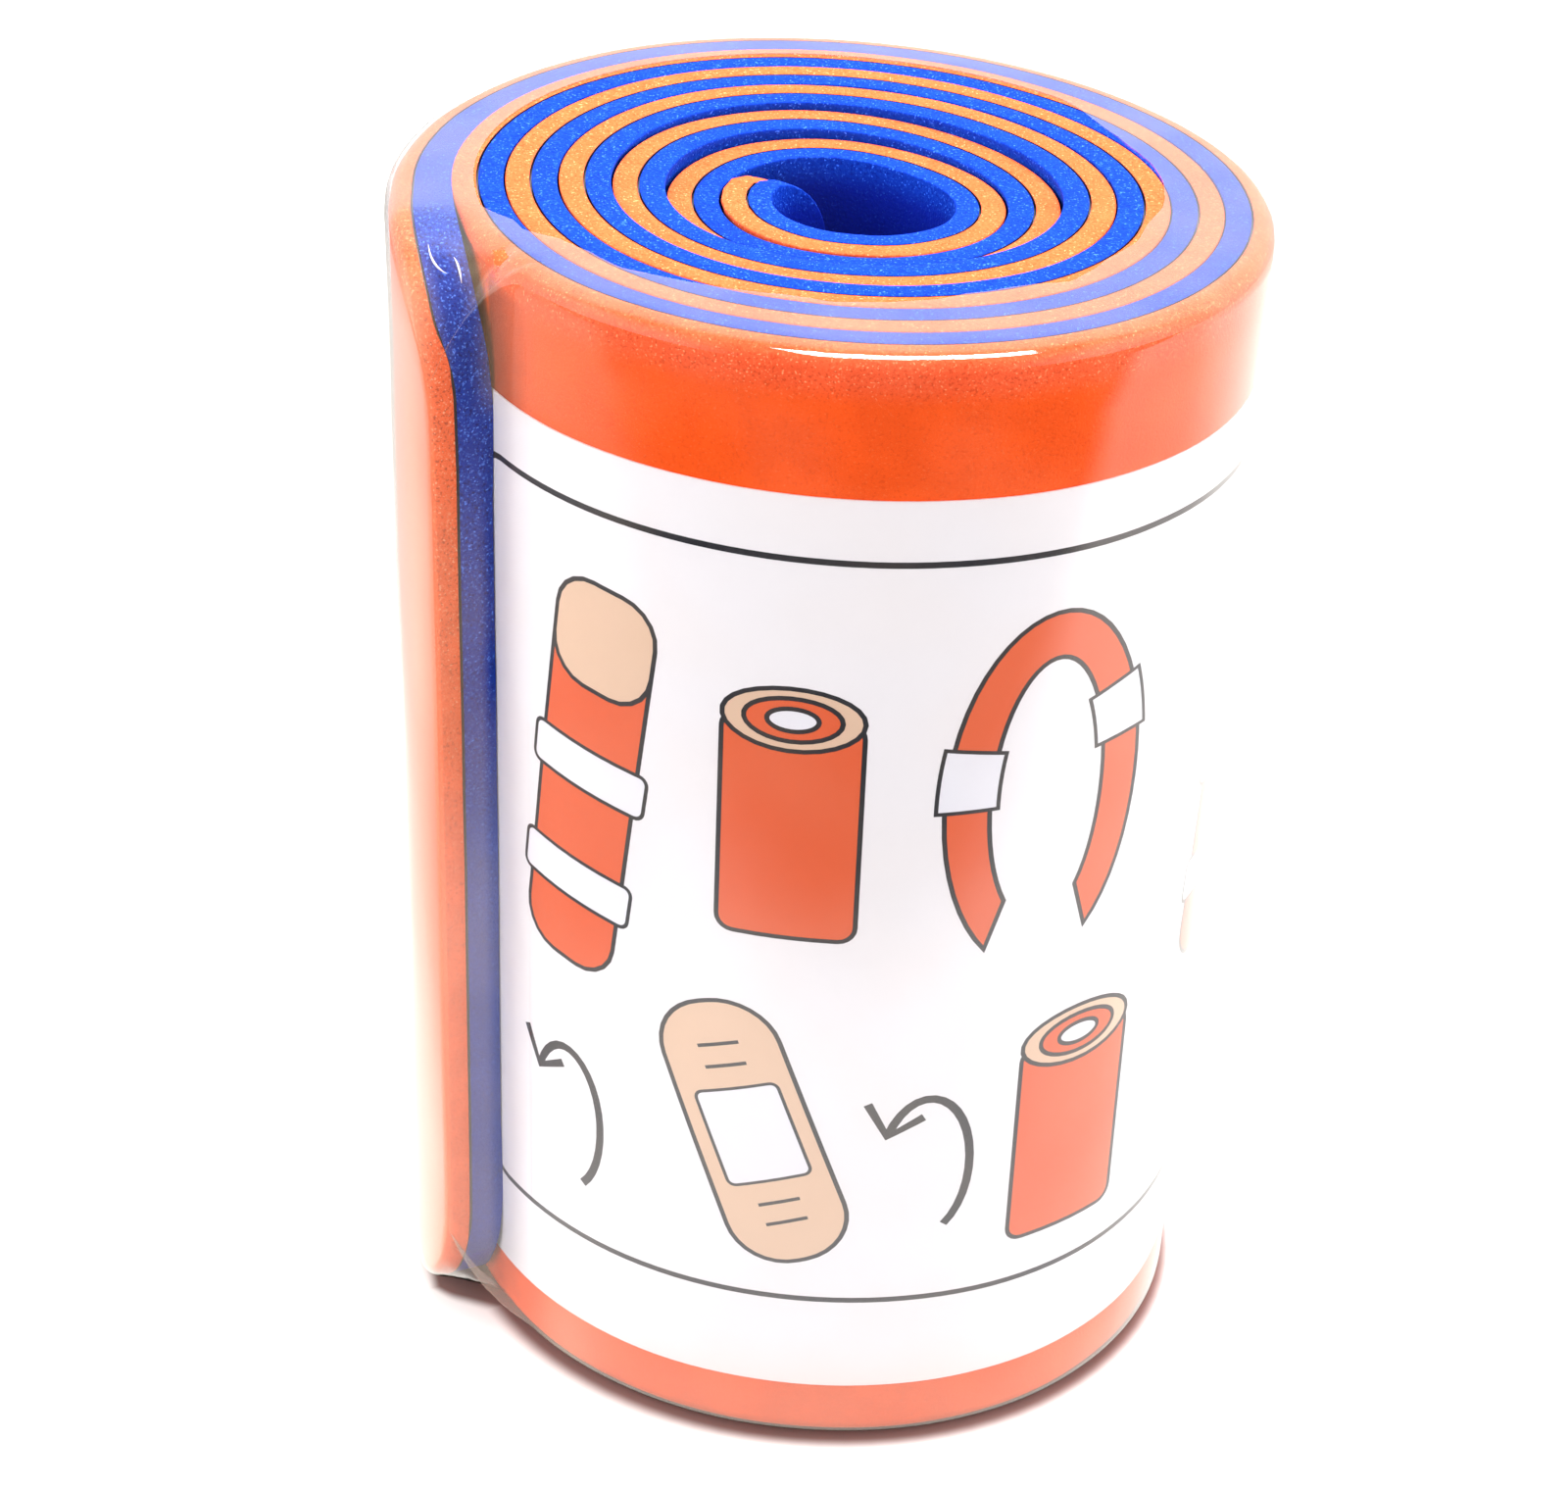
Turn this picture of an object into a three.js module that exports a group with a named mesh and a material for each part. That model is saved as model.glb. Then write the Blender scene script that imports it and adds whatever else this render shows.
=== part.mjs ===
// A rolled foam splint in clear wrap, standing on one end.
// One long strip, blue foam and orange foam on both sides of a thin aluminium sheet, is wound
// anticlockwise from the hollow outwards, blue side in. A printed label lies on the outside of
// the roll and a clear film, open in the middle of both ends, holds everything together.
// Millimetres and degrees, +Z up, angles anticlockwise from +X.

import * as THREE from "three";

// The strip
const stripWidth = 107.95;
const stripTurns = 6.275;
const blueFoam = 1.8;
const orangeFoam = 1.72;
const coreSheet = 0.38;
const bondGap = 0.04;
const coreInset = 0.3;
const endCornerRadius = 10;
const tipCornerRadius = 6;

// The winding
const hollowRadius = 5.335;
const innerTurnGap = 0.336;
const outerTurnGap = 0.1;
const innerTipAngle = 111;
const innerOval = 0.5;
const outerOval = 1.31;
const ovalAngle = -27;
const trefoil = 0.21;
const trefoilAngle = -12;
const flapLift = 1.2;
const flapLiftSpan = 75;
const tipCurl = 1.2;
const tipCurlFullAt = 14;
const tipCurlSpan = 54;

// The rims: how far the inner turns lie below the outer ones, and the round of the outer rim
const sinkDepth = 1.65;
const sinkTable = [
  { turn: 0, share: 0.77 },
  { turn: 1.15, share: 1 },
  { turn: 2.15, share: 0.3 },
  { turn: 3.15, share: 0 },
];
const rimRound = 1.55;
const cutEdgeRound = 0.12;
const rimRampAngle = 25;

// The printed label
const labelLength = 142;
const labelHeight = 89.6;
const labelBottom = 6.4;
const labelThickness = 0.15;
const labelTuck = 4;
const wrapGap = 0.06;

// The film
const filmThickness = 0.15;
const filmSeatGap = 0.08;
const filmBottomOpening = 26;
const filmSlackShare = 0.4;
const filmMinimumFold = 0.5;

// Edge of the film's top opening, as shares of the wall's radius at that angle
const openingTable = [
  { angle: 4, share: 0.745 },
  { angle: 32, share: 0.755 },
  { angle: 49, share: 0.81 },
  { angle: 70, share: 0.84 },
  { angle: 88, share: 0.86 },
  { angle: 100, share: 0.895 },
  { angle: 109, share: 0.99 },
  { angle: 118, share: 0.875 },
  { angle: 137, share: 0.845 },
  { angle: 162, share: 0.85 },
  { angle: 180, share: 0.84 },
  { angle: 194, share: 0.82 },
  { angle: 206, share: 0.77 },
  { angle: 218, share: 0.765 },
  { angle: 237, share: 0.75 },
  { angle: 259, share: 0.72 },
  { angle: 286, share: 0.715 },
  { angle: 304, share: 0.71 },
  { angle: 315, share: 0.745 },
  { angle: 336, share: 0.72 },
];

// Mesh fineness
const turnSides = 40;
const cornerSteps = 4;

// Worked out from the sizes above
const fullTurn = 360;
const tolerance = 1e-6;
const rayStep = fullTurn / turnSides;
const smallestStep = rayStep / 20;
const blueBand = { from: 0, to: blueFoam };
const coreBand = { from: blueBand.to + bondGap, to: blueBand.to + bondGap + coreSheet };
const orangeBand = { from: coreBand.to + bondGap, to: coreBand.to + bondGap + orangeFoam };
const stripThickness = orangeBand.to;
const ovalGrowth = (outerOval - innerOval) / stripTurns;
const outerEndAngle = innerTipAngle + fullTurn * stripTurns;
const exposedFrom = outerEndAngle - fullTurn;
const stripBottom = filmThickness + filmSeatGap;
const stripTop = stripBottom + stripWidth;
const filmTop = stripTop + filmSeatGap + filmThickness;
const labelRoom = labelThickness + 2 * wrapGap;
const radians = THREE.MathUtils.degToRad;
const degrees = THREE.MathUtils.radToDeg;
const easeAcross = 1 - Math.SQRT1_2;

// How far the strip's inner end is bent into the hollow
function curl(angle) {
  const full = innerTipAngle + tipCurlFullAt;
  return tipCurl * (1 - THREE.MathUtils.smoothstep(angle, full, innerTipAngle + tipCurlSpan));
}

// Radius of the strip's blue inner face, at an angle counted on through all turns
function windingRadius(angle) {
  const turn = (angle - innerTipAngle) / fullTurn;
  const progress = turn / stripTurns;
  const firstPitch = stripThickness + ovalGrowth + innerTurnGap;
  const tightening = (outerTurnGap - innerTurnGap) / (2 * stripTurns);
  const oval = THREE.MathUtils.lerp(innerOval, outerOval, progress);
  return (
    hollowRadius + firstPitch * turn + tightening * turn * turn +
    oval * Math.cos(2 * radians(angle - ovalAngle)) +
    trefoil * Math.cos(3 * radians(angle - trefoilAngle)) +
    flapLift * THREE.MathUtils.smoothstep(angle, outerEndAngle - flapLiftSpan, outerEndAngle) -
    curl(angle)
  );
}

function rollOuterRadius(angle) {
  return windingRadius(angle) + stripThickness;
}

// Radius at an angle on the straight line through two points given by angle and radius
function lineRadius(first, second, angle) {
  const lead = radians(angle - first.angle);
  const rest = radians(second.angle - angle);
  const spread = first.radius * Math.sin(lead) + second.radius * Math.sin(rest);
  return (first.radius * second.radius * Math.sin(lead + rest)) / spread;
}

// All layers have their edges on the same rays, and lie on the flat facets between them,
// so that the gaps between turns stay even.
function facetRadius(radiusAt, angle) {
  const ray = Math.floor((angle - innerTipAngle) / rayStep + tolerance);
  const from = innerTipAngle + rayStep * ray;
  const to = Math.min(from + rayStep, outerEndAngle);
  if (to - from < tolerance) return radiusAt(from);
  const first = { angle: from, radius: radiusAt(from) };
  const second = { angle: to, radius: radiusAt(to) };
  return lineRadius(first, second, angle);
}

function rimSink(angle) {
  const turn = (angle - innerTipAngle) / fullTurn;
  const next = sinkTable.findIndex((row) => row.turn > turn);
  if (next === -1) return sinkDepth * sinkTable[sinkTable.length - 1].share;
  const low = sinkTable[next - 1];
  const high = sinkTable[next];
  return sinkDepth * THREE.MathUtils.mapLinear(turn, low.turn, high.turn, low.share, high.share);
}

// What the rounded corner of the nearer end takes off the strip's width at an angle
function cornerDrop(angle) {
  const nearTip = angle < (innerTipAngle + outerEndAngle) / 2;
  const end = nearTip ? innerTipAngle : outerEndAngle;
  const corner = nearTip ? tipCornerRadius : endCornerRadius;
  const meanRadius = (windingRadius(angle) + windingRadius(end)) / 2 + blueFoam;
  const length = Math.abs(radians(angle - end)) * meanRadius;
  if (length >= corner) return 0;
  return corner - Math.sqrt(corner ** 2 - (corner - length) ** 2);
}

function isRay(angle) {
  const rays = (angle - innerTipAngle) / rayStep;
  return Math.abs(rays - Math.round(rays)) < tolerance;
}

// Angles of the strip's cross-sections: the shared rays, and closer ones along both end corners
function stripAngles() {
  const angles = [outerEndAngle];
  for (let angle = innerTipAngle; angle < outerEndAngle - tolerance; angle += rayStep) {
    angles.push(angle);
  }
  const tipRadius = windingRadius(innerTipAngle) + blueFoam;
  const flapRadius = windingRadius(outerEndAngle) + blueFoam;
  for (let step = 1; step < cornerSteps; step += 1) {
    const share = 1 - Math.cos((step / cornerSteps) * (Math.PI / 2));
    angles.push(innerTipAngle + degrees((tipCornerRadius * share) / tipRadius));
    angles.push(outerEndAngle - degrees((endCornerRadius * share) / flapRadius));
  }
  angles.sort((a, b) => a - b);
  return angles.filter((angle, index) => {
    if (isRay(angle) || angle === outerEndAngle) return true;
    return angle - angles[index - 1] > smallestStep && angles[index + 1] - angle > smallestStep;
  });
}

function point(angle, radius, height) {
  const across = radius * Math.cos(radians(angle));
  const along = radius * Math.sin(radians(angle));
  return new THREE.Vector3(across, along, height);
}

function rectangle(angle, near, far, low, high) {
  return [
    point(angle, near, low),
    point(angle, far, low),
    point(angle, far, high),
    point(angle, near, high),
  ];
}

// Closed body through rings of points. Each ring runs anticlockwise in the plane of radius and
// height, and the rings follow each other anticlockwise round the roll.
function loft(rings, joined) {
  const positions = [];
  const indices = [];
  const size = rings[0].length;
  for (const corner of rings.flat()) positions.push(...corner.toArray());
  const spans = joined ? rings.length : rings.length - 1;
  for (let span = 0; span < spans; span += 1) {
    const here = span * size;
    const there = ((span + 1) % rings.length) * size;
    for (let side = 0; side < size; side += 1) {
      const next = (side + 1) % size;
      indices.push(here + side, there + side, there + next);
      indices.push(here + side, there + next, here + next);
    }
  }
  if (!joined) {
    const last = (rings.length - 1) * size;
    for (let side = 1; side < size - 1; side += 1) {
      indices.push(0, side, side + 1);
      indices.push(last, last + side + 1, last + side);
    }
  }
  const geometry = new THREE.BufferGeometry();
  geometry.setAttribute("position", new THREE.Float32BufferAttribute(positions, 3));
  geometry.setIndex(indices);
  geometry.computeVertexNormals();
  return geometry;
}

// One layer of the strip. The outer corners are rounded, more so on the turn that shows.
function stripLayer(band, inset, rounded) {
  const rings = stripAngles().map((angle) => {
    const near = facetRadius(windingRadius, angle) + band.from;
    const far = facetRadius(windingRadius, angle) + band.to;
    const drop = cornerDrop(angle);
    const low = stripBottom + drop + inset;
    const high = stripTop - drop - rimSink(angle) - inset;
    if (!rounded) return rectangle(angle, near, far, low, high);
    const ramp = THREE.MathUtils.smoothstep(angle, exposedFrom - rimRampAngle, exposedFrom);
    const round = THREE.MathUtils.lerp(cutEdgeRound, rimRound, ramp);
    const slack = round * easeAcross;
    return [
      point(angle, near, low),
      point(angle, far - round, low),
      point(angle, far, low + round),
      point(angle, far, high - round),
      point(angle, far - slack, high - slack),
      point(angle, far - round, high),
      point(angle, near, high),
    ];
  });
  return loft(rings, false);
}

function label() {
  const startRadius = rollOuterRadius(exposedFrom);
  const start = exposedFrom - degrees(labelTuck / startRadius);
  const end = start + degrees(labelLength / startRadius);
  const inner = stripAngles().filter((angle) => angle > start + smallestStep && angle < end - smallestStep);
  const low = labelBottom;
  const high = labelBottom + labelHeight;
  const rings = [start, ...inner, end].map((angle) => {
    const near = facetRadius(rollOuterRadius, angle) + wrapGap;
    return rectangle(angle, near, near + labelThickness, low, high);
  });
  return loft(rings, false);
}

// Past the strip's outer end the film runs straight from the end's corner to the turn below,
// and meets it at the ray that stands out most as seen from that corner.
function rollWall(angle) {
  return { angle, radius: rollOuterRadius(angle) + labelRoom };
}

const endCorner = { angle: exposedFrom, radius: rollWall(outerEndAngle).radius };

function findBridgeEnd() {
  const quarterTurn = fullTurn / 4;
  let end = rollWall(exposedFrom + rayStep);
  for (let angle = end.angle; angle < exposedFrom + quarterTurn; angle += rayStep) {
    const next = rollWall(angle);
    if (next.radius > lineRadius(endCorner, end, angle)) end = next;
  }
  return end;
}

const bridgeEnd = findBridgeEnd();

// Radius of the film wall's inside
function wallRadius(angle) {
  if (angle > bridgeEnd.angle) return rollWall(angle).radius;
  return lineRadius(endCorner, bridgeEnd, angle);
}

// How much lower the film's bend ends where it is drawn over the corner of the strip's end
function bendDrop(angle) {
  if (angle > bridgeEnd.angle) return cornerDrop(angle);
  const left = THREE.MathUtils.inverseLerp(bridgeEnd.angle, exposedFrom, angle);
  return endCornerRadius * left ** 3;
}

function openingShare(angle) {
  const turnAngle = THREE.MathUtils.euclideanModulo(angle, fullTurn);
  const count = openingTable.length;
  const after = openingTable.findIndex((row) => row.angle > turnAngle);
  const high = after === -1 ? 0 : after;
  const row = (offset) => openingTable[(high + offset + 2 * count) % count];
  const from = row(-1);
  const to = row(0);
  const span = THREE.MathUtils.euclideanModulo(to.angle - from.angle, fullTurn);
  const share = THREE.MathUtils.euclideanModulo(turnAngle - from.angle, fullTurn) / span;
  return THREE.MathUtils.lerp(from.share, to.share, share);
}

// Wrapped round the rim of the roll: inside the film is a bend that clears the foam's round
// edge, outside it the same bend one film thickness larger.
function film() {
  const bend = rimRound + labelRoom;
  const insideTop = filmTop - filmThickness;
  const angles = stripAngles().filter((angle) => angle > exposedFrom + tolerance);
  const rings = angles.map((angle) => {
    const inside = facetRadius(wallRadius, angle);
    const outside = inside + filmThickness;
    const drop = bendDrop(angle);
    const width = bend + filmSlackShare * drop;
    const depth = rimRound + filmSeatGap + drop;
    const fold = inside - width;
    const outerWidth = width + filmThickness;
    const outerDepth = depth + filmThickness;
    const openTop = Math.min(outside * openingShare(angle), fold - filmMinimumFold);
    const at = (radius, height) => point(angle, radius, height);
    return [
      at(filmBottomOpening, 0),
      at(fold, 0),
      at(outside - outerWidth * easeAcross, outerDepth * easeAcross),
      at(outside, filmThickness + depth),
      at(outside, insideTop - depth),
      at(outside - outerWidth * easeAcross, filmTop - outerDepth * easeAcross),
      at(fold, filmTop),
      at(openTop, filmTop),
      at(openTop, insideTop),
      at(fold, insideTop),
      at(inside - width * easeAcross, insideTop - depth * easeAcross),
      at(inside, insideTop - depth),
      at(inside, filmThickness + depth),
      at(inside - width * easeAcross, filmThickness + depth * easeAcross),
      at(fold, filmThickness),
      at(filmBottomOpening, filmThickness),
    ];
  });
  return loft(rings, true);
}

function piece(name, geometry, finish) {
  const mesh = new THREE.Mesh(geometry, new THREE.MeshStandardMaterial(finish));
  mesh.name = name;
  return mesh;
}

const blueFinish = { color: 0x1a62ff, roughness: 0.75, metalness: 0 };
const coreFinish = { color: 0x8d8f96, roughness: 0.4, metalness: 1 };
const orangeFinish = { color: 0xff7a35, roughness: 0.75, metalness: 0 };
const labelFinish = { color: 0xf1eef3, roughness: 0.5, metalness: 0 };
const filmFinish = { color: 0xf4f6ff, roughness: 0.08, metalness: 0, transparent: true, opacity: 0.3 };

const group = new THREE.Group();
group.add(
  piece("blue_foam", stripLayer(blueBand, 0, false), blueFinish),
  piece("aluminium_core", stripLayer(coreBand, coreInset, false), coreFinish),
  piece("orange_foam", stripLayer(orangeBand, 0, true), orangeFinish),
  piece("printed_label", label(), labelFinish),
  piece("clear_film", film(), filmFinish),
);

// The origin is the middle of the footprint, at the level that the roll stands on.
const box = new THREE.Box3().setFromObject(group);
const middle = box.getCenter(new THREE.Vector3());
group.position.set(-middle.x, -middle.y, -box.min.z);

export default group;
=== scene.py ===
"""Rolled foam splint in clear wrap: foam layers, metal sheet, printed label and film."""

import math

import bpy
import numpy as np
from mathutils import Matrix, Vector, noise
from mathutils.geometry import delaunay_2d_cdt


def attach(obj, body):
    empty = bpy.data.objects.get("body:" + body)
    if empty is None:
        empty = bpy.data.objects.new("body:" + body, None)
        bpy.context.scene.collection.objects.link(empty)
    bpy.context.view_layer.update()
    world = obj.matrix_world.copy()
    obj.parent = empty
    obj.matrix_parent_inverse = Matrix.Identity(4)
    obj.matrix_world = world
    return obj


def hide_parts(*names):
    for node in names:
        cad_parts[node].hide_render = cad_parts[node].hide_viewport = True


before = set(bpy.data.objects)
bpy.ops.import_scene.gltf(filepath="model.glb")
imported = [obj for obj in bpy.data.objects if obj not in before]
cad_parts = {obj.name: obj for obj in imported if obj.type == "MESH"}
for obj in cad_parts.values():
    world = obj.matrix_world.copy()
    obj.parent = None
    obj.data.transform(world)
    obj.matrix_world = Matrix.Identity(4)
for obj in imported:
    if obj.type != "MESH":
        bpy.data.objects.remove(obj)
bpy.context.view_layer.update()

MM = 0.001

# Sizes in millimetres, angles in degrees. BLUE_TO and the like are counted out from the
# strip's inner face; angles are counted on through all turns, anticlockwise from +X.
STRIP_WIDTH = 107.95
STRIP_TURNS = 6.275
BLUE_TO = 1.8
CORE_FROM, CORE_TO = 1.84, 2.22
ORANGE_FROM, ORANGE_TO = 2.26, 3.98
END_CORNER, TIP_CORNER = 10.0, 6.0
HOLLOW_RADIUS = 5.335
INNER_GAP, OUTER_GAP = 0.336, 0.1
TIP_ANGLE = 111.0
TIP_CURL, CURL_FULL_AT, CURL_SPAN = 1.2, 14.0, 54.0
INNER_OVAL, OUTER_OVAL, OVAL_ANGLE = 0.5, 1.31, -27.0
TREFOIL, TREFOIL_ANGLE = 0.21, -12.0
FLAP_LIFT, FLAP_SPAN = 1.2, 75.0
FLAP_CURL, CURL_BACK = 0.75, 25.0
CURL_LOW, CURL_HIGH = (4, 14), (93, 104)
CORE_LEAN, LEAN_HEIGHTS = 0.6, (98, 103)
SINK_DEPTH = 1.65
SINK_TURNS, SINK_SHARES = (0, 1.15, 1.45, 2.15, 2.45, 3.15), (0.77, 1, 0.95, 0.28, 0.13, 0)
RIM_ROUND, RIM_RAMP = 1.55, 25.0
LABEL_TUCK, LABEL_LENGTH = 4.0, 142.0
LABEL_LOW, LABEL_HIGH = 6.4, 96.0
LABEL_NEAR, LABEL_FAR = 0.06, 0.21
LABEL_ROOM = 0.27
STRIP_BOTTOM = 0.23
STRIP_TOP = STRIP_BOTTOM + STRIP_WIDTH
FILM_TOP = 108.41
FILM_THICK = 0.12
BOTTOM_OPENING = 26.0
AXIS_SHIFT = (1.295, -1.1884)

END_ANGLE = TIP_ANGLE + 360 * STRIP_TURNS
EXPOSED_FROM = END_ANGLE - 360
OVAL_GROWTH = (OUTER_OVAL - INNER_OVAL) / STRIP_TURNS


def smoothstep(x, low, high):
    t = min(max((x - low) / (high - low), 0.0), 1.0)
    return t * t * (3 - 2 * t)


def lerp(a, b, t):
    return a + (b - a) * t


# The winding


def winding_radius(angle):
    """Radius of the strip's blue inner face, at an angle counted on through all turns."""
    turn = (angle - TIP_ANGLE) / 360
    first_pitch = ORANGE_TO + OVAL_GROWTH + INNER_GAP
    tightening = (OUTER_GAP - INNER_GAP) / (2 * STRIP_TURNS)
    oval = lerp(INNER_OVAL, OUTER_OVAL, turn / STRIP_TURNS)
    return (
        HOLLOW_RADIUS
        + first_pitch * turn
        + tightening * turn * turn
        + oval * math.cos(2 * math.radians(angle - OVAL_ANGLE))
        + TREFOIL * math.cos(3 * math.radians(angle - TREFOIL_ANGLE))
        + FLAP_LIFT * smoothstep(angle, END_ANGLE - FLAP_SPAN, END_ANGLE)
        - TIP_CURL * (1 - smoothstep(angle, TIP_ANGLE + CURL_FULL_AT, TIP_ANGLE + CURL_SPAN))
    )


def roll_outer(angle):
    return winding_radius(angle) + ORANGE_TO


def rim_sink(angle):
    """How far the rim lies below the outer turns', with a little unevenness along the strip."""
    turn = (angle - TIP_ANGLE) / 360
    uneven = 0.5 + 0.5 * noise.noise(Vector((angle / 31, 4.7, 0)))
    return SINK_DEPTH * float(np.interp(turn, SINK_TURNS, SINK_SHARES)) + 0.1 * uneven


def length_to_end(angle):
    middle = (TIP_ANGLE + END_ANGLE) / 2
    end = TIP_ANGLE if angle < middle else END_ANGLE
    mean_radius = (winding_radius(angle) + winding_radius(end)) / 2 + BLUE_TO
    return abs(math.radians(angle - end)) * mean_radius


def corner_drop(length, corner):
    if length >= corner:
        return 0.0
    return corner - math.sqrt(corner**2 - (corner - max(length, 0.0)) ** 2)


def sway(x, y, z):
    """A slow unevenness of the whole roll, the same for all layers at one place."""
    spot = Vector((x / 26 + 3.1, y / 26, z / 30))
    return 0.16 * noise.noise(spot) + 0.05 * noise.noise(spot * 3.3)


def flap_curl(share, height):
    """The free end's corners bend away from the roll; share is 1 at the end itself."""
    upper, lower = smoothstep(height, *CURL_HIGH), smoothstep(height, *CURL_LOW)
    return FLAP_CURL * share * (upper + 1 - lower)


def end_share(angle):
    return smoothstep(angle, END_ANGLE - CURL_BACK, END_ANGLE)


def place(angle, radius, height):
    """A point of the roll in metres, with the unevenness laid on along the radius."""
    turn = math.radians(angle)
    c, s = math.cos(turn), math.sin(turn)
    radius += sway(radius * c, radius * s, height)
    return (
        (radius * c + AXIS_SHIFT[0]) * MM,
        (radius * s + AXIS_SHIFT[1]) * MM,
        height * MM,
    )


# Meshes
# Near black: the glue towards the core, and a painted shade in the narrow slot there.


def make_mesh(name, points, faces, materials, face_materials=None, sharp=35):
    data = bpy.data.meshes.new(name)
    data.from_pydata(points, [], faces)
    for material in materials:
        data.materials.append(material)
    if face_materials is not None:
        data.polygons.foreach_set("material_index", face_materials)
    data.shade_smooth()
    data.set_sharp_from_angle(angle=math.radians(sharp))
    data.validate()
    data.update()
    piece = bpy.data.objects.new(name, data)
    bpy.context.scene.collection.objects.link(piece)
    return piece


def loft_faces(rings, size, joined):
    """Quads through rings of points; the ends of an open row are closed with one face each."""
    faces = []
    spans = rings if joined else rings - 1
    for span in range(spans):
        here = span * size
        there = (span + 1) % rings * size
        for side in range(size):
            after = (side + 1) % size
            faces.append((here + side, there + side, there + after, here + after))
    if not joined:
        faces.append(tuple(range(size)))
        last = (rings - 1) * size
        faces.append(tuple(range(last + size - 1, last - 1, -1)))
    return faces


def dress(piece, node):
    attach(piece, "root")
    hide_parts(node)
    return piece


# The strip

# Distances from an end, and the step in degrees between them, of the cross-sections
NEAR_END = (0, 0.03, 0.09, 0.16, 0.3, 0.55, 0.9, 1.4, 2, 2.8, 3.8, 5, 6.3, 7.6, 8.9, 10.2)
STEP = 2.5
EDGE_ROUND, CORE_ROUND = 0.12, 0.08
PINCH_DEEP, PINCH_SHALLOW = 0.62, 0.34
CORE_SLOT, CLOSED_SLOT = 0.17, 0.03
WALL_POINTS = 9
TIP_TRIM, TRIM_SPAN = 0.35, 62.0
SWELL = 0.85
SLIT, SLIT_CHANGE, MOST_SPREAD, SPREAD_RAMP = 0.07, 0.035, 0.16, 25
# Sides of a cross-section: those towards the core, and those of the cut top
BLUE_GLUED = set(range(13, 29))
ORANGE_GLUED = set(range(0, 4)) | set(range(36, 48))
CUT_SIDES = range(2, 14)
END_SPANS = 5
SKIN, GLUE_AND_SHADE, CUT_END = range(3)


def strip_angles(trim=0.0):
    """Angles of the cross-sections: even steps, and closer ones near both ends."""
    tip_radius = winding_radius(TIP_ANGLE) + BLUE_TO
    flap_radius = winding_radius(END_ANGLE) + BLUE_TO
    angles = [TIP_ANGLE + math.degrees((s + trim) / tip_radius) for s in NEAR_END]
    angles += [END_ANGLE - math.degrees(s / flap_radius) for s in NEAR_END]
    low, high = angles[len(NEAR_END) - 1], angles[-1]
    count = round((high - low) / STEP)
    angles += [lerp(low, high, k / count) for k in range(1, count)]
    return sorted(angles)


def end_and_corner(angle, trim=0.0):
    """Length of strip to the nearer end, and the corner radius there."""
    if angle < (TIP_ANGLE + END_ANGLE) / 2:
        return max(length_to_end(angle) - trim, 0.0), TIP_CORNER
    return length_to_end(angle), END_CORNER


def turn_gap(angle):
    """Free space between this turn's outer face and the next turn."""
    if angle + 360 > END_ANGLE:
        return 0.0
    return winding_radius(angle + 360) - roll_outer(angle)


def rim_spread(angle):
    """How far the rims of both turns swell into the gap outside this turn."""
    slit = SLIT + SLIT_CHANGE * noise.noise(Vector((angle / 23, 1.3, 0)))
    return min(max(turn_gap(angle) / 2 - slit, 0.0), MOST_SPREAD)


def flap_swell(angle):
    """The blue foam under the lifted end fills most of the room below it."""
    if angle < END_ANGLE - FLAP_SPAN:
        return 0.0
    lift = winding_radius(angle) - roll_outer(angle - 360) - OUTER_GAP
    return SWELL * max(lift, 0.0)


def side_profile(wall, rim, rounding, outward):
    """Down from the rim along one side: (depth, radius), from the top face's edge."""
    rows = []
    for k in range(5):
        lean = math.pi / 2 * k / 4
        depth = rounding * (1 - math.cos(lean))
        inset = rounding * (1 - math.sin(lean))
        rows.append((depth, rim - outward * inset))
    start = max(rounding, PINCH_SHALLOW)
    rows.append((start + 0.02, rim))
    rows.append((start + PINCH_DEEP - PINCH_SHALLOW, wall))
    return rows


def layer_ring(near, far, low, high, stretch, half_height):
    """(radius, height) round one cross-section. near and far are (wall, rim, rounding)."""
    near_rows = side_profile(near[0], near[1], near[2], -1)
    far_rows = side_profile(far[0], far[1], far[2], 1)

    def reach(depth):
        return min(depth * stretch, half_height * (0.25 + 0.1 * depth))

    ring = []
    for depth, radius in reversed(near_rows):
        ring.append((radius, high - reach(depth)))
    left, right = near_rows[0][1], far_rows[0][1]
    crown = 0.03 * (right - left)
    for share in (0.25, 0.5, 0.75):
        rise = crown * (1 - (2 * share - 1) ** 2)
        ring.append((lerp(left, right, share), high + rise))
    for depth, radius in far_rows:
        ring.append((radius, high - reach(depth)))
    top_z = high - reach(far_rows[-1][0])
    low_z = low + reach(far_rows[-1][0])
    for k in range(1, WALL_POINTS):
        ring.append((far[0], lerp(top_z, low_z, k / WALL_POINTS)))
    for depth, radius in reversed(far_rows):
        ring.append((radius, low + reach(depth)))
    ring.append((lerp(left, right, 0.5), low))
    for depth, radius in near_rows:
        ring.append((radius, low + reach(depth)))
    top_z = high - reach(near_rows[-1][0])
    low_z = low + reach(near_rows[-1][0])
    for k in range(1, WALL_POINTS):
        ring.append((near[0], lerp(low_z, top_z, k / WALL_POINTS)))
    return ring


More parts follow.
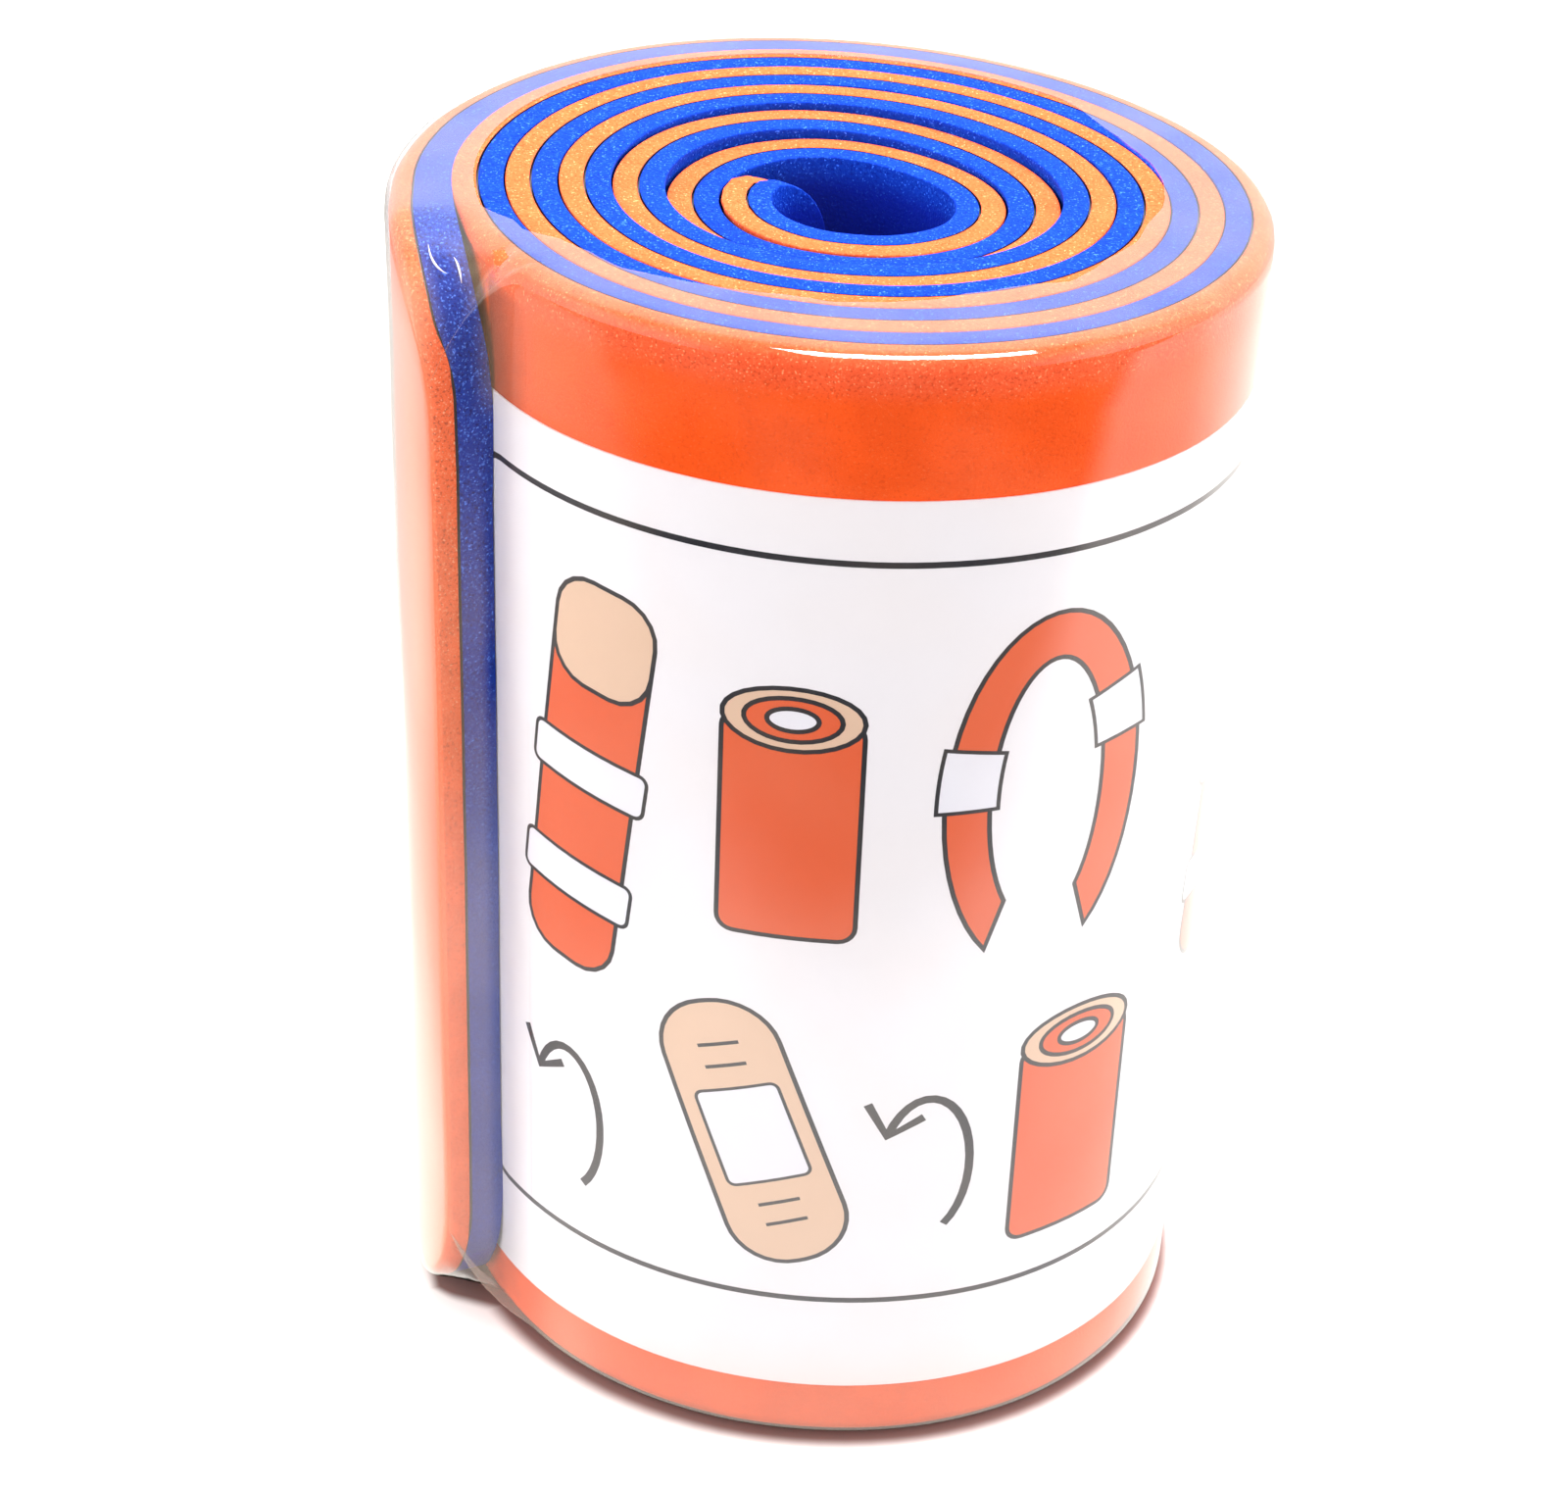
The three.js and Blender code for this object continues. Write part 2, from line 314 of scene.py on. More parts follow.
def foam_walls(angle, blue, soft, pinch):
    """(wall, rim, rounding) of a layer's inner and outer side."""
    base = winding_radius(angle)
    middle = (CORE_FROM + CORE_TO) / 2
    slot = lerp(CORE_SLOT, CLOSED_SLOT, pinch)
    if blue:
        below = angle - 360
        spread = 0.0
        if below > TIP_ANGLE:
            spread = rim_spread(below) * smoothstep(below, TIP_ANGLE, TIP_ANGLE + SPREAD_RAMP)
        wall = lerp(BLUE_TO, middle - slot / 2, pinch)
        inner = base - flap_swell(angle)
        near = (inner + soft, inner - spread + soft, EDGE_ROUND)
        far = (base + wall - soft, base + middle - slot / 2 - soft, CORE_ROUND)
        return near, far
    ramp = smoothstep(angle, EXPOSED_FROM - RIM_RAMP, EXPOSED_FROM)
    rounding = lerp(EDGE_ROUND, RIM_ROUND, ramp)
    wall = lerp(ORANGE_FROM, middle + slot / 2, pinch)
    near = (base + wall + soft, base + middle + slot / 2 + soft, CORE_ROUND)
    far = (base + ORANGE_TO - soft, base + ORANGE_TO + rim_spread(angle) - soft, rounding)
    return near, far


def foam_face_kinds(spans, size, blue):
    """Material of each face: dark glue with painted shade towards the core, bare cells on the
    free end's cut faces.
    """
    glued = BLUE_GLUED if blue else ORANGE_GLUED
    kinds = [GLUE_AND_SHADE if side in glued else SKIN for side in range(size)] * spans
    for span in range(spans + 1 - len(NEAR_END), spans):
        for side in range(size) if span >= spans - END_SPANS else CUT_SIDES:
            kinds[span * size + side] = kinds[span * size + side] or CUT_END
    return kinds + [SKIN, CUT_END]


def strip_layer(name, blue, materials):
    """One foam layer. Its side towards the core is dark: glue, and painted shade in the narrow
    slot by the core.
    """
    points = []
    trim = 0.0 if blue else TIP_TRIM
    for angle in strip_angles(trim):
        end, corner = end_and_corner(angle, trim)
        drop = corner_drop(end, corner)
        stretch = 1 / max((corner - drop) / corner, 0.04)
        soft = 0.0
        if end < EDGE_ROUND:
            soft = EDGE_ROUND - math.sqrt(EDGE_ROUND**2 - (EDGE_ROUND - end) ** 2)
        short = trim * (1 - smoothstep(angle, TIP_ANGLE, TIP_ANGLE + TRIM_SPAN))
        low = STRIP_BOTTOM + drop + soft + short
        high = STRIP_TOP - drop - rim_sink(angle) - soft - short
        pinch = 1 - smoothstep(end, PINCH_SHALLOW, PINCH_DEEP)
        near, far = foam_walls(angle, blue, soft, pinch)
        bend = end_share(angle)
        points.append([])
        for radius, height in layer_ring(near, far, low, high, stretch, (high - low) / 2):
            across = (radius - near[0]) / (far[0] - near[0])
            across = min(max(across if blue else 1 - across, 0.0), 1.0)
            lean = CORE_LEAN * bend * across * smoothstep(height, *LEAN_HEIGHTS)
            radius += flap_curl(bend, height) + lean
            points[-1].append(place(angle, radius, height))
    size = len(points[0])
    faces = loft_faces(len(points), size, False)
    kinds = foam_face_kinds(len(points) - 1, size, blue)
    return make_mesh(name, [p for ring in points for p in ring], faces, materials, kinds)


def core_strip(name, material):
    """The sheet between the foams, a little short of their edges."""
    points = []
    for angle in strip_angles()[4:-4]:
        base = winding_radius(angle)
        end, corner = end_and_corner(angle)
        drop = corner_drop(end, corner)
        stretch = 1 / max((corner - drop) / corner, 0.2)
        inset = (PINCH_DEEP + 0.06) * stretch
        low = STRIP_BOTTOM + drop + inset
        high = STRIP_TOP - drop - rim_sink(angle) - inset
        heights = [lerp(low, high, k / WALL_POINTS) for k in range(WALL_POINTS + 1)]
        ring = [(base + CORE_TO, z) for z in heights]
        ring += [(base + CORE_FROM, z) for z in reversed(heights)]
        bend = end_share(angle)
        points.append([])
        for radius, height in reversed(ring):
            lean = CORE_LEAN * bend * smoothstep(height, *LEAN_HEIGHTS)
            points[-1].append(place(angle, radius + flap_curl(bend, height) + lean, height))
    faces = loft_faces(len(points), len(points[0]), False)
    return make_mesh(name, [p for ring in points for p in ring], faces, [material])


# The film

FILM_STEP = 2.0
WEB_SPAN = 9.0
OPENING_SHIFT = (1.134, -0.987)
OPENING_EDGE = (
    (5, 26.3), (14.5, 26.2), (23, 25.8), (32, 25.9), (41, 26.8), (49, 27.7), (54, 27.8),
    (59.5, 28.3), (69.5, 28.9), (81, 29.2), (93, 29.9), (96, 30.3), (100.5, 30.7),
    (103.5, 31.5), (106, 33.0), (109, 33.9), (112, 33.2), (117, 30.9), (125, 31.1),
    (137, 31.1), (150, 31.4), (162, 31.7), (172, 31.9), (180, 31.6), (189, 30.9),
    (194.6, 30.7), (202, 28.6), (206, 28.4), (212, 26.5), (219, 25.8), (227, 25.8),
    (237.5, 24.6), (248, 23.9), (259, 23.4), (268, 23.9), (288, 23.7), (294, 23.3),
    (307, 23.9), (314, 25.4), (326, 24.8), (336, 25.3), (346, 25.2), (354, 26.0),
)

# Middle lines of the two creases, in millimetres. Their white colour is a painted highlight.
CREASES = (
    ((-31.8, -14.45, 107.2), (-31.21, -15.79, 106.23), (-30.18, -16.14, 105.5)),
    ((-29.76, -14.79, 106.34), (-29.32, -15.4, 105.71), (-29.02, -16.26, 104.77)),
)
CREASE_ROUND, CREASE_STEPS, CREASE_SIDES = 0.085, 12, 8
FILM_WALL_POINTS = 24
OUTSIDE, INSIDE, PAINTED_HIGHLIGHT = range(3)


def opening_radius(angle):
    """Radius of the film's top opening about the winding's own axis."""
    rows = np.array(OPENING_EDGE)
    rays = np.radians(rows[:, 0])
    x = rows[:, 1] * np.cos(rays) + OPENING_SHIFT[0] - AXIS_SHIFT[0]
    y = rows[:, 1] * np.sin(rays) + OPENING_SHIFT[1] - AXIS_SHIFT[1]
    around = np.degrees(np.arctan2(y, x)) % 360
    order = np.argsort(around)
    radii = np.hypot(x, y)[order]
    around = around[order]
    edge = np.interp(angle % 360, around, radii, period=360)
    return float(edge) + 0.12 * noise.noise(Vector((angle / 5, 0, 9)))


def film_section(angle, opening, offset):
    """Half section: up the wall, over the rim, over the turn below and on to the opening."""
    past = (angle - EXPOSED_FROM) / WEB_SPAN
    wall = roll_outer(angle) + LABEL_ROOM
    below = roll_outer(angle - 360 if past > 1 else angle) + 0.05
    drop = 0.0
    if past < 1:
        # A web between the strip's end and the turn below
        wall = lerp(roll_outer(END_ANGLE) + LABEL_ROOM, wall, 1 - (1 - past) ** 2.2)
        drop = END_CORNER * (1 - past) ** 3
    elif length_to_end(angle) < END_CORNER:
        drop = corner_drop(length_to_end(angle), END_CORNER)
    wall += offset
    width = RIM_ROUND + LABEL_ROOM + offset
    depth = RIM_ROUND + 0.08 + offset
    top = FILM_TOP - 0.15 + offset
    inner = min(below - 1.2, wall - width - 0.6)
    sweep = math.atan2(wall - width - inner, drop)
    rows = []
    for k in range(9):
        lean = sweep * k / 8
        height = top - drop - depth * (1 - math.sin(lean))
        rows.append((wall - width * (1 - math.cos(lean)), height))
    fold, height = rows[-1]
    for share in (0.25, 0.5, 0.75, 1.0):
        rows.append((lerp(fold, inner, share), lerp(height, top, share)))
    opening = min(opening, inner - 0.5)
    for share in (0.25, 0.5, 0.75, 1.0):
        rows.append((lerp(inner, opening, share), top))
    return [(radius, max(height, top + rim_dip(radius - below))) for radius, height in rows]


def rim_dip(outside):
    """Height of a rounded rim below its turn's top, at a distance outside the turn's wall."""
    if outside > 0:
        return -1000.0
    return math.sqrt(RIM_ROUND**2 - max(outside + RIM_ROUND, 0.0) ** 2) - RIM_ROUND


def crease_tube(path):
    """A thin raised crease through three points in millimetres, pointed at both ends."""
    first, middle, last = (Vector(p) for p in path)
    bend = middle * 2 - (first + last) / 2
    rings = []
    for k in range(CREASE_STEPS + 1):
        t = k / CREASE_STEPS
        centre = first * (1 - t) ** 2 + bend * (2 * t * (1 - t)) + last * t**2
        along = (bend - first) * (1 - t) + (last - bend) * t
        across = along.cross(Vector((0, 0, 1))).normalized()
        over = across.cross(along).normalized()
        radius = CREASE_ROUND * (0.15 + math.sin(math.pi * t))
        for side in range(CREASE_SIDES):
            turn = 2 * math.pi * side / CREASE_SIDES
            point = centre + (across * math.cos(turn) + over * math.sin(turn)) * radius
            rings.append(tuple(point * MM))
    return rings, loft_faces(CREASE_STEPS + 1, CREASE_SIDES, False)


def film_piece(name, materials):
    """The film, closer in steps near the free end, with the creases over its corner, painted
    white as highlight streaks.
    """
    angles = [EXPOSED_FROM + s for s in (0.0, 0.4, 0.9, 1.5)]
    angles += list(np.arange(EXPOSED_FROM + 2.5, EXPOSED_FROM + WEB_SPAN, 1.5))
    angles += list(np.arange(EXPOSED_FROM + WEB_SPAN + 0.5, END_ANGLE - 16, FILM_STEP))
    angles += list(np.arange(END_ANGLE - 15.5, END_ANGLE - 2, 1.0))
    angles += [END_ANGLE - s for s in (1.4, 0.9, 0.4)]
    points = []
    for angle in angles:
        sides = []
        for offset in (0.0, FILM_THICK):
            upper = film_section(angle, opening_radius(angle), offset)
            lower = film_section(angle, BOTTOM_OPENING, offset)
            lower = [(radius, FILM_TOP - height) for radius, height in lower]
            top_z, low_z = upper[0][1], lower[0][1]
            shares = [k / FILM_WALL_POINTS for k in range(1, FILM_WALL_POINTS)]
            wall = [(upper[0][0], lerp(low_z, top_z, share)) for share in shares]
            sides.append(list(reversed(lower)) + wall + upper)
        bend = end_share(angle)
        if angle < EXPOSED_FROM + WEB_SPAN:
            bend = ((EXPOSED_FROM + WEB_SPAN - angle) / WEB_SPAN) ** 2
        points.append([])
        for radius, height in sides[1] + list(reversed(sides[0])):
            curled = flap_curl(bend, height) * smoothstep(radius, 31, 34)
            points[-1].append(place(angle, radius + curled, height))
    size = len(points[0])
    faces = loft_faces(len(points), size, True)
    kinds = ([OUTSIDE] * (size // 2) + [INSIDE] * (size // 2)) * len(points)
    points = [p for ring in points for p in ring]
    for path in CREASES:
        tube, tube_faces = crease_tube(path)
        faces += [tuple(index + len(points) for index in face) for face in tube_faces]
        points += tube
        kinds += [PAINTED_HIGHLIGHT] * len(tube_faces)
    return make_mesh(name, points, faces, materials, kinds, sharp=60)


# The label: flat shapes in millimetres along and up the sheet, laid round the roll


def label_track():
    """Angles and the lengths along the sheet that they lie at."""
    start_radius = roll_outer(EXPOSED_FROM)
    start = EXPOSED_FROM - math.degrees(LABEL_TUCK / start_radius)
    end = start + math.degrees(LABEL_LENGTH / start_radius)
    angles = np.linspace(start, end, 600)
    radii = np.array([roll_outer(a) + LABEL_NEAR for a in angles])
    x = radii * np.cos(np.radians(angles))
    y = radii * np.sin(np.radians(angles))
    lengths = np.concatenate(([0], np.cumsum(np.hypot(np.diff(x), np.diff(y)))))
    return angles, lengths


TRACK_ANGLES, TRACK_LENGTHS = label_track()
SHEET = float(TRACK_LENGTHS[-1])
LABEL_ROWS = 20
PAPER, INK, ORANGE_PRINT, BEIGE_PRINT, WHITE_PRINT = range(5)


def offset_outline(outline, distance):
    """The closed outline moved outwards by distance (inwards if negative)."""
    points = np.array(outline)
    before, after = np.roll(points, 1, 0), np.roll(points, -1, 0)
    first, second = points - before, after - points
    first /= np.linalg.norm(first, axis=1)[:, None]
    second /= np.linalg.norm(second, axis=1)[:, None]
    normals = np.stack((first[:, 1] + second[:, 1], -first[:, 0] - second[:, 0]), 1)
    normals /= np.linalg.norm(normals, axis=1)[:, None]
    cosine = np.maximum(normals[:, 0] * second[:, 1] - normals[:, 1] * second[:, 0], 0.5)
    return points + normals * (distance / cosine)[:, None]


def rounded_box(x0, y0, x1, y1, radius, steps=5):
    """Anticlockwise outline of a box with round corners."""
    centres = ((x1 - radius, y0 + radius), (x1 - radius, y1 - radius))
    centres += ((x0 + radius, y1 - radius), (x0 + radius, y0 + radius))
    outline = []
    for corner, (cx, cy) in enumerate(centres):
        for k in range(steps + 1):
            turn = math.pi / 2 * (corner - 1 + k / steps)
            outline.append((cx + radius * math.cos(turn), cy + radius * math.sin(turn)))
    return outline


def band(path, width):
    """Outline of a stroke along a path."""
    points = np.array(path, float)
    along = np.gradient(points, axis=0)
    along /= np.linalg.norm(along, axis=1)[:, None]
    across = np.stack((-along[:, 1], along[:, 0]), 1) * (width / 2)
    return np.concatenate((points - across, (points + across)[::-1]))


def ellipse(cx, cy, rx, ry, start=0, stop=360, steps=28):
    turns = np.radians(np.linspace(start, stop, steps))
    return [(cx + rx * math.cos(t), cy + ry * math.sin(t)) for t in turns]


def turned(outline, cx, cy, degrees):
    """The outline turned about a point."""
    c, s = math.cos(math.radians(degrees)), math.sin(math.radians(degrees))
    moved = np.array(outline) - (cx, cy)
    return moved @ np.array(((c, s), (-s, c))) + (cx, cy)


def label_shapes(line=0.42):
    """(outline, material) of each printed area, the later ones on top."""
    shapes = []

    def printed(outline, fill, width=line):
        shapes.append((offset_outline(outline, width / 2), INK))
        shapes.append((offset_outline(outline, -width / 2), fill))

    def inked(path, width):
        shapes.append((band(path, width), INK))

    printed(rounded_box(2.0, 16.4, SHEET - 5, 90.5, 3.2), PAPER, 0.56)
    plain_strip(printed, 16, 65)
    turn_arrow(inked, 14, 29)
    rolled_strip(printed, 34.5, 67)
    dressing(printed, inked, 32.5, 34)
    arched_strip(printed, 56, 68)
    turn_arrow(inked, 47.5, 31)
    rolled_strip(printed, 61.5, 33)
    plain_strip(printed, 83, 60)
    arched_strip(printed, 106, 44)
    dressing(printed, inked, 126, 58)
    return shapes


def rolled_strip(printed, x, y):
    """A small roll, seen a little from above."""
    printed(rounded_box(x - 5.8, y - 12, x + 5.8, y + 9, 1.4), ORANGE_PRINT)
    for wide, fill in ((5.8, BEIGE_PRINT), (4, ORANGE_PRINT), (2.1, WHITE_PRINT)):
        printed(ellipse(x, y + 9, wide, wide * 0.5)[:-1], fill)


def plain_strip(printed, x, y):
    """A flat strip seen at a slant, folded at its upper end, with two white ties round it."""
    body = turned(rounded_box(x - 5, y - 19, x + 5, y + 16, 3.6), x, y, -7)
    printed(body, ORANGE_PRINT)
    fold = turned(rounded_box(x - 5, y + 9, x + 5, y + 19, 3.6), x, y, -7)
    printed(fold, BEIGE_PRINT)
    for rise in (-12.5, -1):
        tie = turned(rounded_box(x - 6, y + rise, x + 6, y + rise + 4.2, 0.8), x, y, -7)
        printed(tie, WHITE_PRINT, 0.36)


def arched_strip(printed, x, y):
    """A strip bent into a hoop, held by two white ties."""
    outer = ellipse(x, y, 9, 17, -58, 238, 44)
    inner = ellipse(x, y, 5.2, 12.8, -50, 230, 44)
    printed(np.concatenate((outer, inner[::-1])), ORANGE_PRINT)
    for start in (14, 160):
        tie = band(ellipse(x, y, 7.1, 15, start, start + 22, 9), 5.2)
        printed(tie, WHITE_PRINT, 0.36)


def dressing(printed, inked, x, y):
    """A plain pad dressing with round ends."""
    printed(turned(rounded_box(x - 5.4, y - 14, x + 5.4, y + 14, 5, 8), x, y, 20), BEIGE_PRINT)
    printed(turned(rounded_box(x - 3.8, y - 5, x + 3.8, y + 5, 0.7), x, y, 20), WHITE_PRINT, 0.3)
    for side in (-1, 1):
        for row in (7.4, 9.6):
            inked(turned(((x - 1.9, y + side * row), (x + 1.9, y + side * row)), x, y, 20), 0.36)


def turn_arrow(inked, x, y):
    """A bent arrow, drawn with a thick dark line."""
    inked(ellipse(x, y, 4, 7.5, -60, 150, 20), 0.8)
    inked(((x - 5.3, y + 7.2), (x - 3.5, y + 3.7), (x - 0.4, y + 5.6)), 0.8)


def signed_area(outline):
    x, y = np.array(outline).T
    return 0.5 * float(np.sum(x * np.roll(y, -1) - y * np.roll(x, -1)))


def label_piece(name, materials):
    """One thin sheet. Its printed side is cut along the shapes, and faces out."""
    columns = max(2, round(SHEET / 1.6))
    xs = np.linspace(0, SHEET, columns + 1)
    points, edges, loops, fills = [], [], [], []
    border = [(x, LABEL_LOW) for x in xs] + [(x, LABEL_HIGH) for x in xs[::-1]]
    loops.append(list(range(len(border))))
    points += border
    for k in range(1, columns):
        edges.append((k, len(border) - 1 - k))
    for height in np.linspace(LABEL_LOW, LABEL_HIGH, LABEL_ROWS + 1)[1:-1]:
        points += [(x, height) for x in xs[1:-1]]
    for outline, fill in label_shapes():
        outline = np.array(outline)
        if signed_area(outline) < 0:
            outline = outline[::-1]
        start = len(points)
        points += [tuple(p) for p in outline]
        loops.append(list(range(start, len(points))))
        fills.append(fill)
    flat = [Vector(p) for p in points]
    found, _, faces, _, _, sources = delaunay_2d_cdt(flat, edges, loops, 1, 1e-4)
    kinds = [max(source) if source else 0 for source in sources]
    kinds = [0 if kind == 0 else fills[kind - 1] for kind in kinds]
    spots = np.array([tuple(p) for p in found])
    angles = np.interp(spots[:, 0], TRACK_LENGTHS, TRACK_ANGLES)
    front = [place(a, roll_outer(a) + LABEL_FAR, z) for a, z in zip(angles, spots[:, 1])]
    back = [place(a, roll_outer(a) + LABEL_NEAR, z) for a, z in zip(angles, spots[:, 1])]
    count = len(front)
    solid = [tuple(face) for face in faces]
    solid += [tuple(index + count for index in reversed(face)) for face in faces]
    kinds += [0] * len(faces)
    used = {}
    for face in faces:
        for a, b in zip(face, list(face[1:]) + [face[0]]):
            used[(a, b)] = True
    for a, b in used:
        if (b, a) not in used:
            solid.append((b, a, a + count, b + count))
            kinds.append(0)
    return make_mesh(name, front + back, solid, materials, kinds)


# Materials. Their heights and places are in metres, like the coordinates that they read

CUT_HEIGHTS = (0.1035, 0.106)
OUT_ROLL, OUT_END = 0.034, 0.035
FRONT_HALF = (0.008, -0.006)


class Nodes:
    """Short ways to build the node tree of a new material or world."""

    def __init__(self, owner, output="ShaderNodeOutputMaterial"):
        self.owner = owner
        owner.use_nodes = True
        self.tree = owner.node_tree
        self.tree.nodes.clear()
        self.output = self.add(output)

    def add(self, kind, **values):
        node = self.tree.nodes.new(kind)
        for key, value in values.items():
            setattr(node, key, value)
        return node

    def link(self, source, target):
        self.tree.links.new(source, target)

    def coordinates(self):
        return self.add("ShaderNodeTexCoord").outputs["Object"]

    def axes(self):
        """The separate coordinates of a point of the piece."""
        parts = self.add("ShaderNodeSeparateXYZ")
        self.link(self.coordinates(), parts.inputs[0])
        return parts

    def slant(self, parts, x_share, y_share):
        across = self.product(parts.outputs["X"], x_share)
        return self.total(across, self.product(parts.outputs["Y"], y_share))

    def past_end(self, parts):
        """Distance along the roll's side, square to the ray through the strip's free end."""
        return self.slant(parts, 0.5, -0.866)

    def out_from_end(self, parts):
        """Distance out along the ray through the strip's free end."""
        return self.slant(parts, -0.866, -0.5)

    def noise(self, scale, detail=2.0, rough=0.5, stretch=None):
        place_in = self.coordinates()
        if stretch is not None:
            mapping = self.add("ShaderNodeMapping")
            mapping.inputs["Scale"].default_value = stretch
            self.link(place_in, mapping.inputs["Vector"])
            place_in = mapping.outputs["Vector"]
        node = self.add("ShaderNodeTexNoise")
        node.inputs["Scale"].default_value = scale
        node.inputs["Detail"].default_value = detail
        node.inputs["Roughness"].default_value = rough
        self.link(place_in, node.inputs["Vector"])
        return node.outputs["Fac"]

    def ramp(self, value, low, high, start=0.0, stop=1.0):
        node = self.add("ShaderNodeMapRange", interpolation_type="SMOOTHSTEP")
        node.inputs["From Min"].default_value = low
        node.inputs["From Max"].default_value = high
        node.inputs["To Min"].default_value = start
        node.inputs["To Max"].default_value = stop
        self.link(value, node.inputs["Value"])
        return node.outputs["Result"]

    def math(self, operation, first, second=None):
        node = self.add("ShaderNodeMath", operation=operation)
        for socket, value in zip(node.inputs, (first, second)):
            if value is None:
                continue
            if isinstance(value, (int, float)):
                socket.default_value = value
            else:
                self.link(value, socket)
        return node.outputs[0]

    def product(self, first, *others):
        for other in others:
            first = self.math("MULTIPLY", first, other)
        return first

    def total(self, first, *others):
        for other in others:
            first = self.math("ADD", first, other)
        return first

    def choose(self, factor, first, second):
        node = self.add("ShaderNodeMix", data_type="FLOAT")
        for socket, value in ((0, factor), (2, first), (3, second)):
            if isinstance(value, (int, float)):
                node.inputs[socket].default_value = value
            else:
                self.link(value, node.inputs[socket])
        return node.outputs[0]

    def blend(self, factor, first, second):
        node = self.add("ShaderNodeMix", data_type="RGBA")
        for socket, value in ((0, factor), (6, first), (7, second)):
            if isinstance(value, (int, float)):
                node.inputs[socket].default_value = value
            elif isinstance(value, tuple):
                node.inputs[socket].default_value = (*value, 1)
            else:
                self.link(value, node.inputs[socket])
        return node.outputs[2]

    def bump(self, height, distance, strength=1.0, normal=None):
        node = self.add("ShaderNodeBump")
        node.inputs["Distance"].default_value = distance
        node.inputs["Strength"].default_value = strength
        self.link(height, node.inputs["Height"])
        if normal is not None:
            self.link(normal, node.inputs["Normal"])
        return node.outputs["Normal"]

    def principled(self, colour, roughness, normal=None, **sockets):
        node = self.add("ShaderNodeBsdfPrincipled")
        for name, value in (("Base Color", colour), ("Roughness", roughness)):
            if isinstance(value, tuple):
                node.inputs[name].default_value = (*value, 1)
            elif isinstance(value, (int, float)):
                node.inputs[name].default_value = value
            else:
                self.link(value, node.inputs[name])
        for name, value in sockets.items():
            node.inputs[name.replace("_", " ")].default_value = value
        if normal is not None:
            self.link(normal, node.inputs["Normal"])
        return node

    def mix_shaders(self, factor, first, second):
        node = self.add("ShaderNodeMixShader")
        for socket, value in zip(node.inputs, (factor, first.outputs[0], second.outputs[0])):
            self.link(value, socket)
        return node

    def finish(self, shader):
        self.link(shader.outputs[0], self.output.inputs["Surface"])
        return self.owner


def new_material(name):
    return Nodes(bpy.data.materials.new(name))


def foam_material(name, edge, skin, pale_speck_and_glint, pore, grit=0.4, bare=(*CUT_HEIGHTS, 0.12), painted_shade=0.0):
    """Closed-cell foam: a paler cut top, partly the cut cells' own tone and partly painted
    brightness of the strong top light; a deeper skin; dark pores; and pale specks, some of them
    painted glints.

    bare is the heights between which the cells come to show, and how much they show below.
    The last argument is how dark a painted shade makes the side right beside the free end."""
    n = new_material(name)
    parts = n.axes()
    height = parts.outputs["Z"]
    grain = n.noise(3600, 1, 0.7)
    # The cut top is paler than the skin: partly the cut cells' own tone, partly painted
    # brightness standing in for the strong light on top.
    cut_top_and_light = n.ramp(height, *bare, 1)
    colour = n.blend(cut_top_and_light, skin, edge)
    dark = n.blend(0.16, colour, pore)
    colour = n.blend(n.ramp(n.noise(260, 1, 0.6), 0.35, 0.68), dark, colour)
    colour = n.blend(n.product(n.ramp(grain, 0.56, 0.8, 0, grit), cut_top_and_light), colour, pale_speck_and_glint)
    pores = n.product(n.ramp(grain, 0.44, 0.3, 0, grit + 0.1), n.ramp(cut_top_and_light, 0, 1, 0.4, 1))
    colour = n.blend(pores, colour, pore)
    # Painted glints: pale specks laid into the colour where cut cells would catch the light,
    # with a lower roughness there.
    painted_glint = n.product(n.ramp(n.noise(5200, 0), 0.7, 0.8), cut_top_and_light)
    colour = n.blend(painted_glint, colour, pale_speck_and_glint)
    # Painted shade: the roll's side right beside the free end, in its upper part, is darkened
    # towards a deep brown.
    if painted_shade:
        past = n.past_end(parts)
        beside = n.product(
            n.ramp(past, 0.0095, 0.0012),
            painted_shade,
            n.ramp(n.out_from_end(parts), OUT_END, OUT_ROLL),
            n.ramp(parts.outputs["X"], -0.016, -0.019),
            n.ramp(height, 0.1065, 0.1045),
            n.ramp(height, 0.02, 0.05),
            n.ramp(past, 0.0002, 0.001),
        )
        colour = n.blend(beside, colour, (0.28, 0.03, 0.02))
    normal = n.bump(grain, 0.00012, 0.6)
    roughness = n.ramp(painted_glint, 0, 1, 0.85, 0.4)
    return n.finish(n.principled(colour, roughness, normal, Specular_IOR_Level=0.06))


def metal_material(name):
    """Dull aluminium sheet, drawn along its width."""
    n = new_material(name)
    drawn = n.noise(900, 3, 0.6, stretch=(1, 1, 0.06))
    colour = n.blend(drawn, (0.3, 0.3, 0.33), (0.5, 0.5, 0.53))
    normal = n.bump(drawn, 0.00002, 0.5)
    shader = n.principled(colour, n.ramp(drawn, 0, 1, 0.35, 0.55), normal, Metallic=1.0)
    return n.finish(shader)


def print_material(name, main, spread, roughness=0.42):
    """Printed paper: fine fibre, and slow changes of tone."""
    n = new_material(name)
    fibre = n.noise(1500, 1, 0.6)
    slow = n.noise(40, 1, 0.5)
    dark = tuple(c * (1 - spread) for c in main)
    colour = n.blend(n.product(n.total(fibre, slow), 0.5), dark, main)
    normal = n.bump(fibre, 0.00002, 0.25)
    gloss = n.ramp(fibre, 0.3, 0.7, roughness - 0.06, roughness + 0.06)
    return n.finish(n.principled(colour, gloss, normal))


